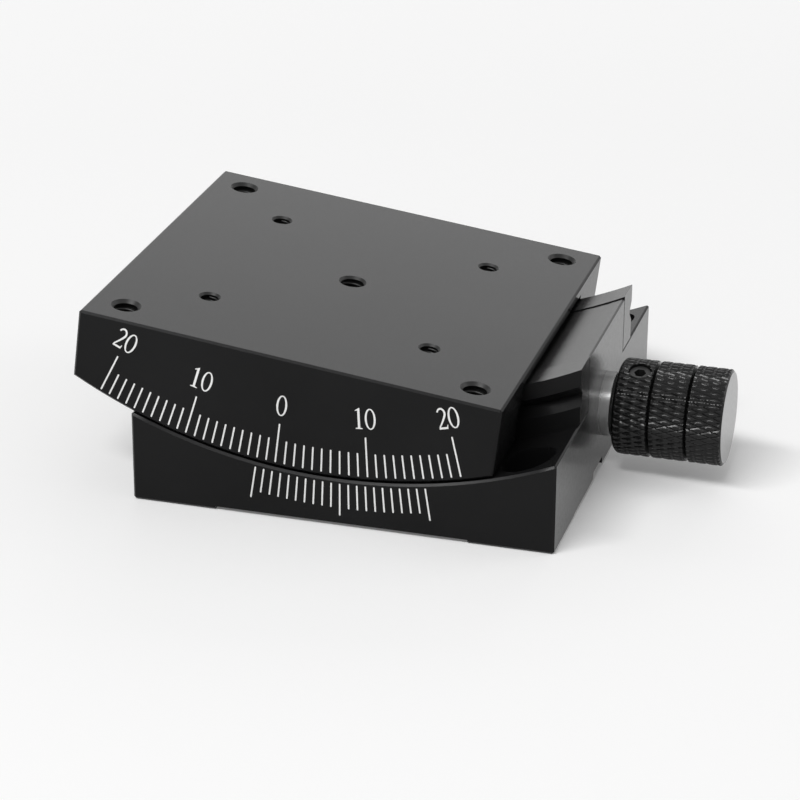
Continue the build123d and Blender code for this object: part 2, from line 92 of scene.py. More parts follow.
class Recipe:
    # A node material with its shader at hand and short ways to add nodes

    def __init__(self, name):
        self.material = bpy.data.materials.new(name)
        self.material.use_nodes = True
        self.tree = self.material.node_tree
        self.shader = self.tree.nodes["Principled BSDF"]
        self.coordinates = self.tree.nodes.new("ShaderNodeTexCoord").outputs["Object"]

    def link(self, source, target):
        self.tree.links.new(source, target)

    def noise(self, scale, detail, stretch):
        mapping = self.tree.nodes.new("ShaderNodeMapping")
        mapping.inputs["Scale"].default_value = stretch
        self.link(self.coordinates, mapping.inputs["Vector"])
        made = self.tree.nodes.new("ShaderNodeTexNoise")
        made.inputs["Scale"].default_value = scale
        made.inputs["Detail"].default_value = detail
        self.link(mapping.outputs["Vector"], made.inputs["Vector"])
        return made.outputs["Fac"]

    def spread(self, pattern, low, high):
        # A number that follows the pattern
        made = self.tree.nodes.new("ShaderNodeMapRange")
        made.inputs["From Min"].default_value = texture["noiseSpan"][0]
        made.inputs["From Max"].default_value = texture["noiseSpan"][1]
        made.inputs["To Min"].default_value = low
        made.inputs["To Max"].default_value = high
        self.link(pattern, made.inputs["Value"])
        return made.outputs["Result"]

    def tint(self, pattern, dark, pale):
        # A colour that follows the pattern
        made = self.tree.nodes.new("ShaderNodeValToRGB")
        for element, position, colour in zip(made.color_ramp.elements, texture["noiseSpan"],
                                             (dark, pale)):
            element.position = position
            element.color = (*colour, 1)
        self.link(pattern, made.inputs["Fac"])
        return made.outputs["Color"]

    def bump(self, pattern, distance):
        made = self.tree.nodes.new("ShaderNodeBump")
        made.inputs["Distance"].default_value = distance
        self.link(pattern, made.inputs["Height"])
        self.link(made.outputs["Normal"], self.shader.inputs["Normal"])


def metalFinish(name, settings):
    # Slow clouds in the colour, fine grain in the roughness and the surface
    recipe = Recipe(name)
    recipe.shader.inputs["Metallic"].default_value = settings["metallic"]
    recipe.shader.inputs["IOR"].default_value = settings.get("ior", texture["ior"])
    even = (1, 1, 1)
    clouds = recipe.noise(texture["cloudScale"], texture["cloudDetail"], even)
    grain = recipe.noise(settings["grainScale"], texture["grainDetail"],
                         settings.get("stretch", even))
    recipe.link(recipe.tint(clouds, settings["dark"], settings["pale"]),
                recipe.shader.inputs["Base Color"])
    recipe.link(recipe.spread(grain, *settings["roughness"]), recipe.shader.inputs["Roughness"])
    recipe.bump(grain, settings["grainDepth"])
    return recipe.material


finishes = {
    "anodised": {"metallic": 0, "ior": 1.22, "dark": (0.006, 0.006, 0.0062),
                 "pale": (0.009, 0.009, 0.0093), "roughness": (0.22, 0.27),
                 "grainScale": 2500, "grainDepth": 0.0005 * mm},
    "groundBlack": {"metallic": 0, "ior": 1.55, "dark": (0.008, 0.008, 0.008),
                    "pale": (0.012, 0.012, 0.012), "roughness": (0.2, 0.26),
                    "grainScale": 1500, "grainDepth": 0.0004 * mm},
    "tapped": {"metallic": 0.7, "dark": (0.022, 0.022, 0.022), "pale": (0.034, 0.034, 0.034),
               "roughness": (0.3, 0.4), "grainScale": 2000, "grainDepth": 0.0005 * mm},
    "blackScrew": {"metallic": 0.6, "dark": (0.03, 0.03, 0.03), "pale": (0.06, 0.06, 0.06),
                   "roughness": (0.3, 0.45), "grainScale": 1500, "grainDepth": 0.003 * mm},
    "sleeve": {"metallic": 0.85, "dark": (0.28, 0.28, 0.28), "pale": (0.36, 0.36, 0.36),
               "roughness": (0.22, 0.34), "grainScale": 1200, "stretch": (1, 0.04, 0.04),
               "grainDepth": 0.002 * mm},
    "knobBlack": {"metallic": 0, "ior": 1.33, "dark": (0.004, 0.004, 0.004),
                  "pale": (0.007, 0.007, 0.007), "roughness": (0.18, 0.24),
                  "grainScale": 1400, "grainDepth": 0.001 * mm},
    "facedEnd": {"metallic": 1, "dark": (0.35, 0.35, 0.35), "pale": (0.41, 0.41, 0.41),
                 "roughness": (0.3, 0.4), "grainScale": 1800, "grainDepth": 0.001 * mm},
    "steel": {"metallic": 1, "dark": (0.5, 0.5, 0.51), "pale": (0.62, 0.62, 0.63),
              "roughness": (0.18, 0.3), "grainScale": 1200, "grainDepth": 0.001 * mm},
    "brass": {"metallic": 1, "dark": (0.62, 0.44, 0.17), "pale": (0.76, 0.57, 0.25),
              "roughness": (0.25, 0.38), "grainScale": 1200, "grainDepth": 0.002 * mm},
    "bronze": {"metallic": 1, "dark": (0.42, 0.25, 0.12), "pale": (0.55, 0.35, 0.18),
               "roughness": (0.3, 0.45), "grainScale": 1200, "grainDepth": 0.002 * mm},
    "whiteFill": {"metallic": 0, "dark": (0.8, 0.8, 0.79), "pale": (0.9, 0.9, 0.89),
                  "roughness": (0.5, 0.65), "grainScale": 3000, "grainDepth": 0.004 * mm},
}
finish = {name: metalFinish(name, settings) for name, settings in finishes.items()}
print("finishes mixed:", len(finish))


class Grower:
    # A geometry node tree with named inputs and short ways to add nodes

    def __init__(self, name, inputs):
        self.tree = bpy.data.node_groups.new(name, "GeometryNodeTree")
        for label, kind in [*inputs.items(), ("Material", "Material")]:
            self.tree.interface.new_socket(label, in_out="INPUT", socket_type="NodeSocket" + kind)
        self.tree.interface.new_socket("Geometry", in_out="OUTPUT",
                                       socket_type="NodeSocketGeometry")
        self.given = self.tree.nodes.new("NodeGroupInput").outputs

    def add(self, kind, values, **settings):
        made = self.tree.nodes.new(kind)
        for name, value in settings.items():
            setattr(made, name, value)
        for name, value in values.items():
            if isinstance(value, bpy.types.NodeSocket):
                self.tree.links.new(value, made.inputs[name])
            else:
                made.inputs[name].default_value = value
        return made.outputs

    def maths(self, operation, *values):
        return self.add("ShaderNodeMath", dict(enumerate(values)), operation=operation)[0]

    def point(self, x, y, z):
        return self.add("ShaderNodeCombineXYZ", {"X": x, "Y": y, "Z": z})[0]

    def join(self, *parts):
        made = self.tree.nodes.new("GeometryNodeJoinGeometry")
        for part in parts:
            self.tree.links.new(part, made.inputs[0])
        return made.outputs[0]

    def finished(self, geometry):
        # Every tree ends here, so the export meets a plain mesh with its material
        real = self.add("GeometryNodeRealizeInstances", {"Geometry": geometry})["Geometry"]
        painted = self.add("GeometryNodeSetMaterial",
                           {"Geometry": real, "Material": self.given["Material"]})["Geometry"]
        result = self.tree.nodes.new("NodeGroupOutput")
        self.tree.links.new(painted, result.inputs["Geometry"])
        return self.tree


def meshFrom(source):
    # The evaluated object as a plain mesh
    bpy.context.view_layer.update()
    depsgraph = bpy.context.evaluated_depsgraph_get()
    return bpy.data.meshes.new_from_object(source.evaluated_get(depsgraph))


def grown(tree, values, points=((0, 0, 0),)):
    # Runs a tree once and gives the plain mesh
    mesh = bpy.data.meshes.new("points")
    mesh.from_pydata(points, [], [])
    holder = bpy.data.objects.new("holder", mesh)
    bpy.context.scene.collection.objects.link(holder)
    modifier = holder.modifiers.new("nodes", "NODES")
    modifier.node_group = tree
    for item in tree.interface.items_tree:
        if item.item_type == "SOCKET" and item.in_out == "INPUT" and item.name in values:
            modifier[item.identifier] = values[item.name]
    result = meshFrom(holder)
    bpy.data.objects.remove(holder)
    return result


def newPiece(name, mesh, material, body, replaced=()):
    piece = bpy.data.objects.new(name, mesh)
    bpy.context.scene.collection.objects.link(piece)
    piece.data.materials.clear()
    piece.data.materials.append(material)
    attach(piece, body)
    if replaced:
        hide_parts(*replaced)
    return piece


def carved(mesh, tool, operation="DIFFERENCE"):
    # The mesh less the tool's mesh, or what both share
    block = bpy.data.objects.new("block", mesh)
    cutter = bpy.data.objects.new("cutter", tool)
    for helper in (block, cutter):
        bpy.context.scene.collection.objects.link(helper)
    cut = block.modifiers.new("cut", "BOOLEAN")
    cut.operation = operation
    cut.solver = "EXACT"
    cut.use_self = True
    cut.object = cutter
    result = meshFrom(block)
    for helper in (block, cutter):
        bpy.data.objects.remove(helper)
    return result


def meshOf(name, shell):
    bmesh.ops.recalc_face_normals(shell, faces=shell.faces)
    mesh = bpy.data.meshes.new(name)
    shell.to_mesh(mesh)
    shell.free()
    return mesh


def joined(meshes):
    shell = bmesh.new()
    for mesh in meshes:
        shell.from_mesh(mesh)
    whole = bpy.data.meshes.new("joined")
    shell.to_mesh(whole)
    shell.free()
    return whole


def weldedCopy(node):
    # A copy of a CAD node's loose triangles with its doubles merged
    mesh = frame["nodes"][node].data.copy()
    shell = bmesh.new()
    shell.from_mesh(mesh)
    bmesh.ops.remove_doubles(shell, verts=shell.verts, dist=weldDistance)
    shell.to_mesh(mesh)
    shell.free()
    return mesh


shading = {
    "sharpFrom": math.radians(30),
    "flatUnder": math.radians(0.4),
    "shortest": 1e-6,               # shorter edges are taken out
    "sliver": 0.03 * mm,            # shorter edges don't make a face round
}


def shaded(mesh):
    # Flat faces flat and round ones smooth, with flat neighbours made one face
    shell = bmesh.new()
    shell.from_mesh(mesh)
    bmesh.ops.dissolve_degenerate(shell, dist=shading["shortest"], edges=shell.edges)
    bmesh.ops.dissolve_limit(shell, angle_limit=shading["flatUnder"], verts=shell.verts,
                             edges=shell.edges)
    for edge in shell.edges:
        edge.smooth = edge.calc_face_angle(math.pi) < shading["sharpFrom"]
    for face in shell.faces:
        face.smooth = any(
            edge.smooth and edge.calc_face_angle(0) > shading["flatUnder"]
            and edge.calc_length() > shading["sliver"]
            for edge in face.edges
        )
    shell.to_mesh(mesh)
    shell.free()
    return mesh


# Both scales: bars grown along an arc, numerals drawn as outlines, all cut in and filled white
scale = {
    "tableSpan": 20,          # degrees to each side
    "longEvery": 10,
    "edgeMargin": 0.55 * mm,  # from the table's lower edge to the marks
    "shortMark": 3.5 * mm,
    "longMark": 5.9 * mm,
    "markWidth": 0.24 * mm,
    "cornerSteps": 5,         # points round a corner of a mark's end
    "widthPerRadius": 2.001,  # of such a corner, a hair over 2 to keep both corners apart
    "vernierDivisions": 10,   # to each side of its middle mark
    "vernierStep": 0.9,       # degrees
    "vernierMargin": 0.85 * mm,
    "vernierShort": 3.7 * mm,
    "vernierLong": 4.8 * mm,
    "numeralGap": 1.15 * mm,
    "numeralHeight": 3.1 * mm,
    "numeralPitch": 0.52,     # from digit to digit, as a share of their height
    "cutDepth": 0.12 * mm,
    "fillBelow": 0.02 * mm,   # the paint stands so far under the surface
}
cutRange = (front - scale["cutDepth"], front + scale["cutDepth"])
fillRange = (front + scale["fillBelow"], front + scale["cutDepth"])


def markTree():
    # Geometry nodes: round-ended bars on an arc, longer at every so many
    grow = Grower("scaleMarks", {
        "Count": "Int", "Long Every": "Int", "Step": "Float", "Radius": "Float",
        "Outwards": "Float", "Width": "Float", "Short": "Float", "Long": "Float",
        "Near": "Float", "Far": "Float",
    })
    given = grow.given

    def barShape(length):
        outline = grow.add("GeometryNodeCurvePrimitiveQuadrilateral",
                           {"Width": given["Width"], "Height": length})["Curve"]
        rounded = grow.add("GeometryNodeFilletCurve", {
            "Curve": outline, "Count": scale["cornerSteps"],
            "Radius": grow.maths("DIVIDE", given["Width"], scale["widthPerRadius"]),
        }, mode="POLY")["Curve"]
        face = grow.add("GeometryNodeFillCurve", {"Curve": rounded}, mode="NGONS")["Mesh"]
        deep = grow.maths("SUBTRACT", given["Far"], given["Near"])
        raised = grow.add("GeometryNodeExtrudeMesh",
                          {"Mesh": face, "Offset Scale": deep, "Individual": False})["Mesh"]
        back = grow.add("GeometryNodeFlipFaces", {"Mesh": face})["Mesh"]
        closed = grow.add("GeometryNodeMergeByDistance", {
            "Geometry": grow.join(raised, back), "Distance": weldDistance,
        })["Geometry"]
        # its own Y will point at the swing axis
        lift = grow.maths("MULTIPLY", length, grow.maths("MULTIPLY", given["Outwards"], -0.5))
        return grow.add("GeometryNodeTransform", {
            "Geometry": closed, "Translation": grow.point(0, lift, 0),
        })["Geometry"]

    kinds = grow.add("GeometryNodeGeometryToInstance", {})
    for length in (given["Short"], given["Long"]):      # the last one joined is number 0
        grow.tree.links.new(barShape(length), kinds[0].node.inputs[0])
    line = grow.add("GeometryNodeMeshLine", {"Count": given["Count"]})["Mesh"]
    index = grow.add("GeometryNodeInputIndex", {})[0]
    middle = grow.maths("DIVIDE", grow.maths("SUBTRACT", given["Count"], 1), 2)
    fromMiddle = grow.maths("SUBTRACT", index, middle)
    angle = grow.maths("MULTIPLY", fromMiddle, given["Step"])
    isShort = grow.maths("GREATER_THAN", grow.maths(
        "MODULO", grow.maths("ABSOLUTE", fromMiddle), given["Long Every"]), 0.5)
    x = grow.maths("MULTIPLY", given["Radius"], grow.maths("SINE", angle))
    z = grow.maths("MULTIPLY", given["Radius"], grow.maths("COSINE", angle))
    places = grow.add("GeometryNodeSetPosition", {
        "Geometry": line, "Position": grow.point(x, given["Far"], grow.maths("MULTIPLY", z, -1)),
    })["Geometry"]
    facing = grow.add("FunctionNodeEulerToRotation", {
        "Euler": grow.point(math.pi / 2, grow.maths("MULTIPLY", angle, -1), 0),
    })[0]
    bars = grow.add("GeometryNodeInstanceOnPoints", {
        "Points": places, "Instance": kinds[0], "Pick Instance": True,
        "Instance Index": isShort, "Rotation": facing,
    })["Instances"]
    return grow.finished(bars)


def strokeOutline(spine, widths):
    # Both sides of a pen stroke that swells along its spine
    left, right = [], []
    for index, (x, y) in enumerate(spine):
        before = spine[max(index - 1, 0)]
        after = spine[min(index + 1, len(spine) - 1)]
        along = Vector((after[0] - before[0], after[1] - before[1])).normalized()
        side = Vector((-along.y, along.x)) * widths[index] / 2
        left.append((x + side.x, y + side.y))
        right.append((x - side.x, y - side.y))
    return left, right


two = {
    "bowlSteps": 12,
    "bowlStart": 165,         # degrees
    "bowlSweep": 190,
    "bowlMiddle": 0.745,      # its height
    "bowlRadii": (0.19, 0.215),
    "neckSteps": 6,
    "neckFoot": (-0.18, 0.12),
    "neckBend": 0.85,
    "penWidth": 0.08,         # at the hook
    "bowlSwell": 0.03,
    "neckThinning": 0.04,
    "foot": [(0.17, 0.1), (0.21, 0.2), (0.25, 0.2), (0.22, 0.0), (-0.24, 0.0), (-0.24, 0.05)],
    "narrowed": 0.87,
}


def numeralTwo():
    # Hook, bowl and neck as one pen stroke that runs into the foot, one unit high
    spine, widths = [], []
    for step in range(two["bowlSteps"] + 1):
        turn = math.radians(two["bowlStart"] - two["bowlSweep"] * step / two["bowlSteps"])
        spine.append((two["bowlRadii"][0] * math.cos(turn),
                      two["bowlMiddle"] + two["bowlRadii"][1] * math.sin(turn)))
        widths.append(two["penWidth"] + two["bowlSwell"] * step / two["bowlSteps"])
    (fromX, fromY), (toX, toY), widest = spine[-1], two["neckFoot"], widths[-1]
    for step in range(1, two["neckSteps"] + 1):
        share = step / two["neckSteps"]
        spine.append((fromX + (toX - fromX) * share,
                      fromY + (toY - fromY) * share**two["neckBend"]))
        widths.append(widest - two["neckThinning"] * share)
    outer, inner = strokeOutline(spine, widths)
    return [(x * two["narrowed"], y) for x, y in outer + two["foot"] + inner[::-1]]


numeralOne = [
    (-0.16, 0.0), (0.16, 0.0), (0.16, 0.045), (0.055, 0.07), (0.055, 1.0), (0.02, 1.0),
    (-0.16, 0.88), (-0.16, 0.84), (-0.055, 0.87), (-0.055, 0.07), (-0.16, 0.045),
]


def ovalOutline(halfWidth, halfHeight, steps=28):
    turns = [2 * math.pi * step / steps for step in range(steps)]
    return [(halfWidth * math.cos(turn), 0.5 + halfHeight * math.sin(turn)) for turn in turns]


def plate(shell, outline, hole, nearY, farY):
    # A closed plate from an outline given as (x, z), with a hole of as many points if there is one
    rows = [
        [shell.verts.new((x, y, z)) for x, z in points]
        for points, y in ((outline, nearY), (outline, farY), (hole, farY), (hole, nearY))
    ]
    pairs = [(rows[0], rows[1])]
    if hole:
        pairs += [(rows[1], rows[2]), (rows[2], rows[3]), (rows[3], rows[0])]
    else:
        shell.faces.new(rows[0])
        shell.faces.new(rows[1][::-1])
    for first, second in pairs:
        for index in range(len(outline)):
            following = (index + 1) % len(outline)
            shell.faces.new((first[index], second[index], second[following], first[following]))


def numerals(nearY, farY):
    # Upright above their long marks, their feet away from the swing axis
    zero, zeroHole = ovalOutline(0.25, 0.5), ovalOutline(0.155, 0.435)
    shapes = {"0": (zero, zeroHole), "1": (numeralOne, []), "2": (numeralTwo(), [])}
    height = scale["numeralHeight"]
    foot = (stage["tableEdgeRadius"] - scale["edgeMargin"] - scale["longMark"]
            - scale["numeralGap"])
    shell = bmesh.new()
    for degree in range(-scale["tableSpan"], scale["tableSpan"] + 1, scale["longEvery"]):
        turn = math.radians(degree - stage["restTilt"])
        digits = str(abs(degree))
        for index, digit in enumerate(digits):
            shift = scale["numeralPitch"] * (index - (len(digits) - 1) / 2)

            def placed(outline):
                spots = []
                for x, y in outline:
                    across, radius = (x + shift) * height, foot - y * height
                    spots.append((
                        radius * math.sin(turn) + across * math.cos(turn),
                        tiltAxisHeight - radius * math.cos(turn) + across * math.sin(turn),
                    ))
                return spots

            outline, hole = shapes[digit]
            plate(shell, placed(outline), placed(hole), nearY, farY)
    return meshOf("numerals", shell)


marks = markTree()


def bars(count, longEvery, step, radius, outwards, short, long, turn, depthRange):
    mesh = grown(marks, {
        "Count": count, "Long Every": longEvery, "Step": math.radians(step), "Radius": radius,
        "Outwards": float(outwards), "Width": scale["markWidth"], "Short": short, "Long": long,
        "Near": depthRange[0], "Far": depthRange[1], "Material": finish["whiteFill"],
    })
    mesh.transform(Matrix.Translation((0, 0, tiltAxisHeight))
                   @ Matrix.Rotation(math.radians(turn), 4, "Y"))
    return mesh


def tableMarks(depthRange):
    edge = stage["tableEdgeRadius"] - scale["edgeMargin"]
    return bars(2 * scale["tableSpan"] + 1, scale["longEvery"], 1, edge, -1,
                scale["shortMark"], scale["longMark"], stage["restTilt"], depthRange)


def vernierMarks(depthRange):
    start = stage["tableEdgeRadius"] + scale["vernierMargin"]
    return bars(2 * scale["vernierDivisions"] + 1, scale["vernierDivisions"],
                scale["vernierStep"], start, 1, scale["vernierShort"], scale["vernierLong"], 0,
                depthRange)


newPiece("table_scale_marks", joined([tableMarks(fillRange), numerals(*fillRange)]),
         finish["whiteFill"], "table")
newPiece("vernier_marks", vernierMarks(fillRange), finish["whiteFill"], "base")
print("scales engraved")

# Threads in the table's tapped holes
tappedHoles = [
    {"half": 25 * mm, "core": 1.65 * mm, "crest": 2.0 * mm, "pitch": 0.7 * mm,
     "length": 7.2 * mm, "mouth": 0.45 * mm},
    {"half": 16 * mm, "core": 1.25 * mm, "crest": 1.5 * mm, "pitch": 0.5 * mm,
     "length": 4.4 * mm, "mouth": 0.3 * mm},
    {"half": 0, "core": 1.65 * mm, "crest": 1.95 * mm, "pitch": 0.7 * mm,
     "length": 4.9 * mm, "mouth": 0.35 * mm},
]
tapping = {
    "stepsPerTurn": 28,
    "ridgeCorners": 4,
    "turnsShort": 1.5,      # fewer turns than the length holds, to stay inside the hole
    "wallSteps": 48,
    "wallTop": 1.1,         # where the straight wall starts, in mouth depths
    "skin": 0.05 * mm,      # faces nearer the top than this keep the plate's finish
}


def threadTree():
    # Geometry nodes: one ridge swept along a spiral, set in every hole of a kind
    grow = Grower("threadRidges", {"Places": "Geometry", "Pitch": "Float", "Turns": "Float",
                                   "Core Radius": "Float", "Thread Radius": "Float"})
    given = grow.given
    spiral = grow.add("GeometryNodeCurveSpiral", {
        "Resolution": tapping["stepsPerTurn"], "Rotations": given["Turns"],
        "Start Radius": given["Thread Radius"], "End Radius": given["Thread Radius"],
        "Height": grow.maths("MULTIPLY", given["Pitch"], given["Turns"]),
        "Reverse": True,                # a right-hand thread
    })["Curve"]
    ridge = grow.add("GeometryNodeCurvePrimitiveCircle", {
        "Resolution": tapping["ridgeCorners"],
        "Radius": grow.maths("SUBTRACT", given["Thread Radius"], given["Core Radius"]),
    })["Curve"]
    swept = grow.add("GeometryNodeCurveToMesh",
                     {"Curve": spiral, "Profile Curve": ridge, "Fill Caps": True})["Mesh"]
    return grow.finished(grow.add("GeometryNodeInstanceOnPoints",
                                  {"Points": given["Places"], "Instance": swept})["Instances"])


def holePlaces(kind):
    half = kind["half"]
    return [(x, y) for x in (-half, half) for y in (-half, half)] if half else [(0, 0)]


threads = threadTree()
threadMeshes = []
for kind in tappedHoles:
    lowest = -stage["tableToAxis"] - kind["mouth"] - kind["length"] + kind["pitch"] / 2
    threadMeshes.append(grown(
        threads,
        {"Pitch": kind["pitch"],
         "Turns": kind["length"] / kind["pitch"] - tapping["turnsShort"],
         "Core Radius": kind["core"], "Thread Radius": kind["crest"],
         "Material": finish["tapped"]},
        [(x, y, lowest) for x, y in holePlaces(kind)],
    ))
threadMesh = joined(threadMeshes)
threadMesh.transform(tableTurn)
newPiece("hole_threads", threadMesh, finish["tapped"], "table")
print("threads cut")


def tapPins():
    # One straight pin per tapped hole, as wide as its thread, from its mouth's foot down
    shell = bmesh.new()
    for kind in tappedHoles:
        for x, y in holePlaces(kind):
            top = -stage["tableToAxis"] - tapping["wallTop"] * kind["mouth"]
            place = tableTurn @ Matrix.Translation((x, y, top - kind["length"] / 2))
            bmesh.ops.create_cone(
                shell, cap_ends=True, segments=tapping["wallSteps"], radius1=kind["crest"],
                radius2=kind["crest"], depth=kind["length"], matrix=place,
            )
    return meshOf("taps", shell)


def blackenHoles(piece):
    # Walls and countersunk mouths of the tapped holes
    piece.data.materials.append(finish["tapped"])
    intoTable = tableTurn.inverted()
    for face in piece.data.polygons:
        spot = intoTable @ face.center
        depth = -stage["tableToAxis"] - spot.z
        if any(
            tapping["skin"] < depth < kind["length"] + kind["mouth"]
            and math.hypot(spot.x - x, spot.y - y) < kind["core"] + kind["mouth"]
            for kind in tappedHoles for x, y in holePlaces(kind)
        ):
            face.material_index = 1


# A face is ground where its normal's share upwards or lengthways is over these
grinding = {
    "upwards": 0.8,
    "lengthways": 0.98,
    "topSlack": 0.3 * mm,   # over the rib's top
}


def grindFaces(piece):
    # Rib and rails are ground together on top, and their ends with the base's
    piece.data.materials.append(finish["groundBlack"])
    for face in piece.data.polygons:
        reach = math.hypot(face.center.x, face.center.z - tiltAxisHeight)
        onTop = (face.normal.z > grinding["upwards"]
                 and reach < stage["ribTop"] + grinding["topSlack"])
        if onTop or abs(face.normal.x) > grinding["lengthways"]:
            face.material_index = 1


# The two blocks with the scales cut in and the tapped holes opened to the thread's full depth
tableMesh = carved(weldedCopy("table_block"), tableMarks(cutRange))
tableMesh = carved(tableMesh, numerals(*cutRange))
tableMesh = carved(tableMesh, tapPins())
tablePiece = newPiece("table_body", shaded(tableMesh), finish["anodised"], "table",
                      ["table_block"])
blackenHoles(tablePiece)
baseMesh = carved(weldedCopy("base_block"), vernierMarks(cutRange))
basePiece = newPiece("base_body", shaded(baseMesh), finish["anodised"], "base",
                     ["base_block"])
grindFaces(basePiece)
print("blocks cut")

# Knob: a rod knurled all over, turned down to bands, grooves and a rounded inner end
knob = {
    "radius": (knobHigh.z - knobLow.z) / 2,
    "length": knobHigh.x - knobLow.x,
    "innerRound": 1.2 * mm,
    "roundSteps": 8,
    "outerChamfer": 0.4 * mm,
    "grooves": (5.3 * mm, 10.6 * mm),   # from the inner end
    "grooveWidth": 0.7 * mm,
    "grooveDepth": 0.6 * mm,
    "boreRadius": 2.6 * mm,
    "boreDepth": 12.1 * mm,
    "diamondsRound": 43,
    "diamondLength": 3.15 * mm,
    "rows": 6,                          # diamonds along the rod, one more than the knob shows
    "cutDepth": 0.25 * mm,
    "crestClearance": 0.05 * mm,        # from the diamonds' crests to the turned outside
    "steps": 6,                         # faces along a diamond's edge
    "sharpFrom": math.radians(22),
    "screwLean": 16,                    # degrees from upright
    "screwPlace": 3.1 * mm,
    "screwHole": 1.56 * mm,
    "screwMouth": 1.8 * mm,
    "screwReach": (2.2 * mm, 8 * mm),   # from the shaft's line
    "holeSteps": 48,
    "facedNormal": 0.9,                 # the faced end's normal has more than this lengthways
    "facedWithin": 0.1 * mm,            # of the outer end
}


def knurlTree():
    # Geometry nodes: a grid bent round the rod, its lines running along both sets of grooves
    grow = Grower("diamondKnurl", {
        "Round": "Int", "Rows": "Int", "Steps": "Int", "Diamond Length": "Float",
        "Radius": "Float", "Cut Depth": "Float", "Start": "Float", "Height": "Float",
    })
    given = grow.given
    grid = grow.add("GeometryNodeMeshGrid", {
        "Size X": 1.0, "Size Y": 1.0,
        "Vertices X": grow.maths("ADD", grow.maths("MULTIPLY", given["Round"], given["Steps"]), 1),
        "Vertices Y": grow.maths("ADD", grow.maths("MULTIPLY", given["Rows"], grow.maths(
            "MULTIPLY", given["Steps"], 2)), 1),
    })["Mesh"]
    split = grow.add("GeometryNodeTriangulate", {"Mesh": grid},
                     quad_method="FIXED_ALTERNATE")["Mesh"]
    place = grow.add("ShaderNodeSeparateXYZ", {
        "Vector": grow.add("GeometryNodeInputPosition", {})[0],
    })
    first = grow.maths("MULTIPLY", grow.maths("ADD", place["X"], 0.5), given["Round"])
    along = grow.maths("MULTIPLY", grow.maths("ADD", place["Y"], 0.5), given["Rows"])
    around = grow.maths("ADD", first, along)
    second = grow.maths("ADD", around, along)
    # distance from the nearest groove of either set, as a share of their pitch
    near = grow.maths("MINIMUM", grow.maths("PINGPONG", first, 0.5),
                      grow.maths("PINGPONG", second, 0.5))
    crest = grow.maths("SINE", grow.maths("MULTIPLY", near, math.pi))
    sunk = grow.maths("MULTIPLY", given["Cut Depth"], grow.maths("SUBTRACT", 1, crest))
    radius = grow.maths("SUBTRACT", given["Radius"], sunk)
    turn = grow.maths("MULTIPLY", grow.maths("DIVIDE", around, given["Round"]), 2 * math.pi)
    spot = grow.point(
        grow.maths("ADD", given["Start"], grow.maths("MULTIPLY", along, given["Diamond Length"])),
        grow.maths("MULTIPLY", radius, grow.maths("COSINE", turn)),
        grow.maths("ADD", given["Height"], grow.maths(
            "MULTIPLY", radius, grow.maths("SINE", turn))),
    )
    bent = grow.add("GeometryNodeSetPosition", {"Geometry": split, "Position": spot})["Geometry"]
    return grow.finished(grow.add("GeometryNodeMergeByDistance",
                                  {"Geometry": bent, "Distance": weldDistance})["Geometry"])


def knurledRod():
    overhang = (knob["rows"] * knob["diamondLength"] - knob["length"]) / 2
    mesh = grown(knurlTree(), {
        "Round": knob["diamondsRound"], "Rows": knob["rows"], "Steps": knob["steps"],
        "Diamond Length": knob["diamondLength"], "Radius": knob["radius"],
        "Cut Depth": knob["cutDepth"],
        "Start": knobLow.x - overhang, "Height": shaftHeight, "Material": finish["knobBlack"],
    })
    shell = bmesh.new()
    shell.from_mesh(mesh)
    bmesh.ops.holes_fill(shell, edges=[edge for edge in shell.edges if edge.is_boundary])
    return meshOf("rod", shell)


def knobProfile():
    # (place along the knob, radius), from the bore's end round the outside to the faced end
    over = knob["radius"] + knob["crestClearance"]
    profile = [(knob["boreDepth"], 0), (knob["boreDepth"], knob["boreRadius"]),
               (0, knob["boreRadius"])]
    corner = knob["innerRound"]
    for step in range(knob["roundSteps"] + 1):
        turn = math.pi / 2 * step / knob["roundSteps"]
        profile.append((corner * (1 - math.cos(turn)), over - corner * (1 - math.sin(turn))))
    half = knob["grooveWidth"] / 2
    for groove in knob["grooves"]:
        profile += [(groove - half, over), (groove, knob["radius"] - knob["grooveDepth"]),
                    (groove + half, over)]
    end = knob["length"]
    profile += [(end - knob["outerChamfer"], over),
                (end, knob["radius"] - knob["outerChamfer"]), (end, 0)]
    return profile


def turned(profile, segments=120):
    # A profile spun about the shaft's line
    shell = bmesh.new()
    verts = [shell.verts.new((knobLow.x + along, radius, shaftHeight)) for along, radius in profile]
    edges = [shell.edges.new(pair) for pair in zip(verts, verts[1:])]
    bmesh.ops.spin(shell, geom=verts + edges, cent=(0, 0, shaftHeight), axis=(1, 0, 0),
                   angle=2 * math.pi, steps=segments, use_merge=True)
    bmesh.ops.remove_doubles(shell, verts=shell.verts, dist=weldDistance)
    return meshOf("turned", shell)


def screwDrill():
    # The set screw's hole with its countersunk mouth
    lean = math.radians(knob["screwLean"])
    out = Vector((0, -math.sin(lean), math.cos(lean)))
    foot = Vector((knobLow.x + knob["screwPlace"], 0, shaftHeight))
    turn = out.to_track_quat("Z", "Y").to_matrix().to_4x4()
    shell = bmesh.new()
    sink = knob["screwMouth"] - knob["screwHole"]
    for low, high, narrow, wide in (
        (*knob["screwReach"], knob["screwHole"], knob["screwHole"]),
        (knob["radius"] - 2 * sink, knob["radius"] + sink, knob["screwHole"] - sink,
         knob["screwMouth"] + sink),
    ):
        bmesh.ops.create_cone(
            shell, cap_ends=True, segments=knob["holeSteps"], radius1=narrow, radius2=wide,
            depth=high - low, matrix=Matrix.Translation(foot + out * (low + high) / 2) @ turn,
        )
    return meshOf("drill", shell)


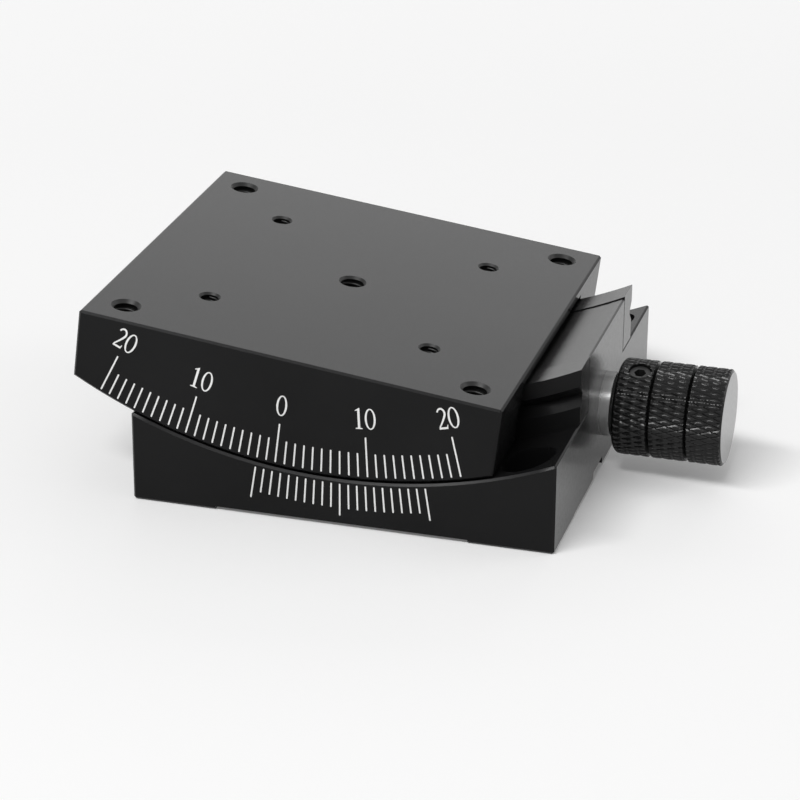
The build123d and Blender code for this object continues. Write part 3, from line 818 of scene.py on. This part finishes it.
knobMesh = carved(knurledRod(), turned(knobProfile()), "INTERSECT")
knobMesh = carved(knobMesh, screwDrill())
knobMesh.shade_smooth()
knobMesh.set_sharp_from_angle(angle=knob["sharpFrom"])
knobPiece = newPiece("knurled_knob", knobMesh, finish["knobBlack"], "worm", ["knob"])
knobPiece.data.materials.append(finish["facedEnd"])
for face in knobPiece.data.polygons:
    if (face.normal.x > knob["facedNormal"]
            and face.center.x > knobHigh.x - knob["facedWithin"]):
        face.material_index = 1
print("knob knurled and turned:", len(knobPiece.data.polygons), "faces")

# The other nodes keep their CAD shape and get a finish
nodeFinish = {
    "front_inner_rail": "anodised", "rear_inner_rail": "anodised",
    "front_outer_rail": "anodised", "rear_outer_rail": "anodised",
    "inner_rail_screws": "blackScrew", "outer_rail_screws": "blackScrew",
    "preload_screws": "blackScrew", "worm_cover": "anodised", "worm_cover_screws": "blackScrew",
    "bearing_sleeve": "sleeve", "end_bush": "bronze", "end_plug": "blackScrew",
    "thrust_washer": "steel", "stop_pin": "steel", "worm_sector": "brass",
    "worm_shaft": "steel", "knob_set_screw": "blackScrew", "front_cage": "brass",
    "front_rollers": "steel", "rear_cage": "brass", "rear_rollers": "steel",
}
roundNodes = ("bearing_sleeve", "end_plug", "knob_set_screw", "worm_shaft", "end_bush",
              "front_inner_rail", "rear_inner_rail", "front_outer_rail", "rear_outer_rail",
              "front_rollers", "rear_rollers", "inner_rail_screws", "outer_rail_screws",
              "preload_screws", "worm_cover", "worm_cover_screws")
bodyOf = {
    node: body
    for body, members in frame["record"]["behaviour"]["bodies"].items()
    for node in members
}
for node, name in nodeFinish.items():
    if node in roundNodes:
        piece = newPiece(node + "_finished", shaded(weldedCopy(node)), finish[name],
                         bodyOf[node], [node])
        if node.endswith("inner_rail"):
            grindFaces(piece)
    else:
        frame["nodes"][node].data.materials.clear()
        frame["nodes"][node].data.materials.append(finish[name])
print("nodes finished:", len(nodeFinish))

# Camera at the photograph's view
view = {
    "azimuth": 16.04, "elevation": 23.783, "roll": 0.369, "lens": 133.43, "sensor": 36,
    "distance": 425.01 * mm, "across": -0.173 * mm, "up": -8.068 * mm,
    "aim": Vector((0, 0, 15 * mm)), "nearest": 0.01, "farthest": 20,
}


def placeCamera():
    azimuth, elevation = math.radians(view["azimuth"]), math.radians(view["elevation"])
    back = Vector((math.sin(azimuth) * math.cos(elevation),
                   -math.cos(azimuth) * math.cos(elevation), math.sin(elevation)))
    right = Vector((math.cos(azimuth), math.sin(azimuth), 0))
    up = back.cross(right)
    eye = view["aim"] + back * view["distance"] + right * view["across"] + up * view["up"]
    turn = (Matrix((right, up, back)).transposed().to_4x4()
            @ Matrix.Rotation(math.radians(view["roll"]), 4, "Z"))
    lens = bpy.data.cameras.new("camera")
    lens.lens = view["lens"]
    lens.sensor_width = view["sensor"]
    lens.clip_start = view["nearest"]
    lens.clip_end = view["farthest"]
    camera = bpy.data.objects.new("camera", lens)
    camera.matrix_world = Matrix.Translation(eye) @ turn
    bpy.context.scene.collection.objects.link(camera)
    bpy.context.scene.camera = camera


placeCamera()

# Floor, world and softboxes
studio = {
    "floorHalf": 1.5,
    "floorBelow": 0.05 * mm,   # under the stage's feet
    "floorColour": (0.9, 0.9, 0.9, 1),
    "floorRoughness": 0.9,
    "floorSpecular": 0.1,
    "liftReach": (0.15, 1.3),  # metres from the middle, for the two ends of the lift
    "floorLift": (0.12, 0.4),  # added where the camera and polished metal see the floor
    "seenStrength": 0.95,      # what they see past the floor's edge
    "worldStrength": 0.3,      # what lights the stage from all round
    "lampAim": (0, 0, 10 * mm),
    # name: place, size, watts
    "softboxes": {
        "behind": ((-0.13, 0.76, 0.4), (0.7, 0.34), 0.9),
        "above": ((0.1, 0.1, 0.9), (0.6, 0.6), 0.3),
        "key": ((-0.4, -1.0, 1.4), (1.3, 0.25), 21),
        "right": ((0.7, 0.35, 0.35), (0.4, 0.4), 0.6),
    },
}


def raysSeen(tree):
    # 1 for what the camera sees, straight or in metal and glass
    path = tree.nodes.new("ShaderNodeLightPath")
    seen = path.outputs["Is Camera Ray"]
    for name in ("Is Glossy Ray", "Is Transmission Ray"):
        either = tree.nodes.new("ShaderNodeMath")
        either.operation = "MAXIMUM"
        tree.links.new(seen, either.inputs[0])
        tree.links.new(path.outputs[name], either.inputs[1])
        seen = either.outputs[0]
    return seen


def whenSeen(tree, unseen, seen):
    made = tree.nodes.new("ShaderNodeMapRange")
    made.inputs["To Min"].default_value = unseen
    made.inputs["To Max"].default_value = seen
    tree.links.new(raysSeen(tree), made.inputs["Value"])
    return made.outputs["Result"]


def makeFloor():
    # Pale and matt, so that it keeps the stage's shadow
    material = bpy.data.materials.new("paleFloor")
    material.use_nodes = True
    shader = material.node_tree.nodes["Principled BSDF"]
    shader.inputs["Base Color"].default_value = studio["floorColour"]
    shader.inputs["Roughness"].default_value = studio["floorRoughness"]
    shader.inputs["Specular IOR Level"].default_value = studio["floorSpecular"]
    shader.inputs["Emission Color"].default_value = (1, 1, 1, 1)
    # a white that makes up for the lamps' falling off outwards
    tree = material.node_tree
    place = tree.nodes.new("ShaderNodeTexCoord")
    reach = tree.nodes.new("ShaderNodeVectorMath")
    reach.operation = "LENGTH"
    tree.links.new(place.outputs["Object"], reach.inputs[0])
    lift = tree.nodes.new("ShaderNodeMapRange")
    for name, value in zip(("From Min", "From Max", "To Min", "To Max"),
                           (*studio["liftReach"], *studio["floorLift"])):
        lift.inputs[name].default_value = value
    tree.links.new(reach.outputs["Value"], lift.inputs["Value"])
    seen = tree.nodes.new("ShaderNodeMath")
    seen.operation = "MULTIPLY"
    tree.links.new(raysSeen(tree), seen.inputs[0])
    tree.links.new(lift.outputs["Result"], seen.inputs[1])
    tree.links.new(seen.outputs[0], shader.inputs["Emission Strength"])
    half, height = studio["floorHalf"], cadLow.z - studio["floorBelow"]
    mesh = bpy.data.meshes.new("floor")
    mesh.from_pydata([(-half, -half, height), (half, -half, height), (half, half, height),
                      (-half, half, height)], [], [(0, 1, 2, 3)])
    mesh.materials.append(material)
    floor = bpy.data.objects.new("floor", mesh)
    bpy.context.scene.collection.objects.link(floor)


def makeWorld():
    world = bpy.data.worlds.new("studio")
    bpy.context.scene.world = world
    world.use_nodes = True
    tree = world.node_tree
    background = tree.nodes["Background"]
    background.inputs["Color"].default_value = (1, 1, 1, 1)
    tree.links.new(whenSeen(tree, studio["worldStrength"], studio["seenStrength"]),
                   background.inputs["Strength"])


def makeSoftbox(name, place, size, watts):
    lamp = bpy.data.lights.new(name, "AREA")
    lamp.shape = "RECTANGLE"
    lamp.size, lamp.size_y = size
    lamp.energy = watts
    softbox = bpy.data.objects.new(name, lamp)
    towards = Vector(studio["lampAim"]) - Vector(place)
    softbox.matrix_world = (
        Matrix.Translation(place) @ towards.to_track_quat("-Z", "Y").to_matrix().to_4x4()
    )
    bpy.context.scene.collection.objects.link(softbox)


makeFloor()
makeWorld()
for name, (place, size, watts) in studio["softboxes"].items():
    makeSoftbox(name, place, size, watts)
bpy.context.scene.view_settings.view_transform = "Standard"
print("studio lit")
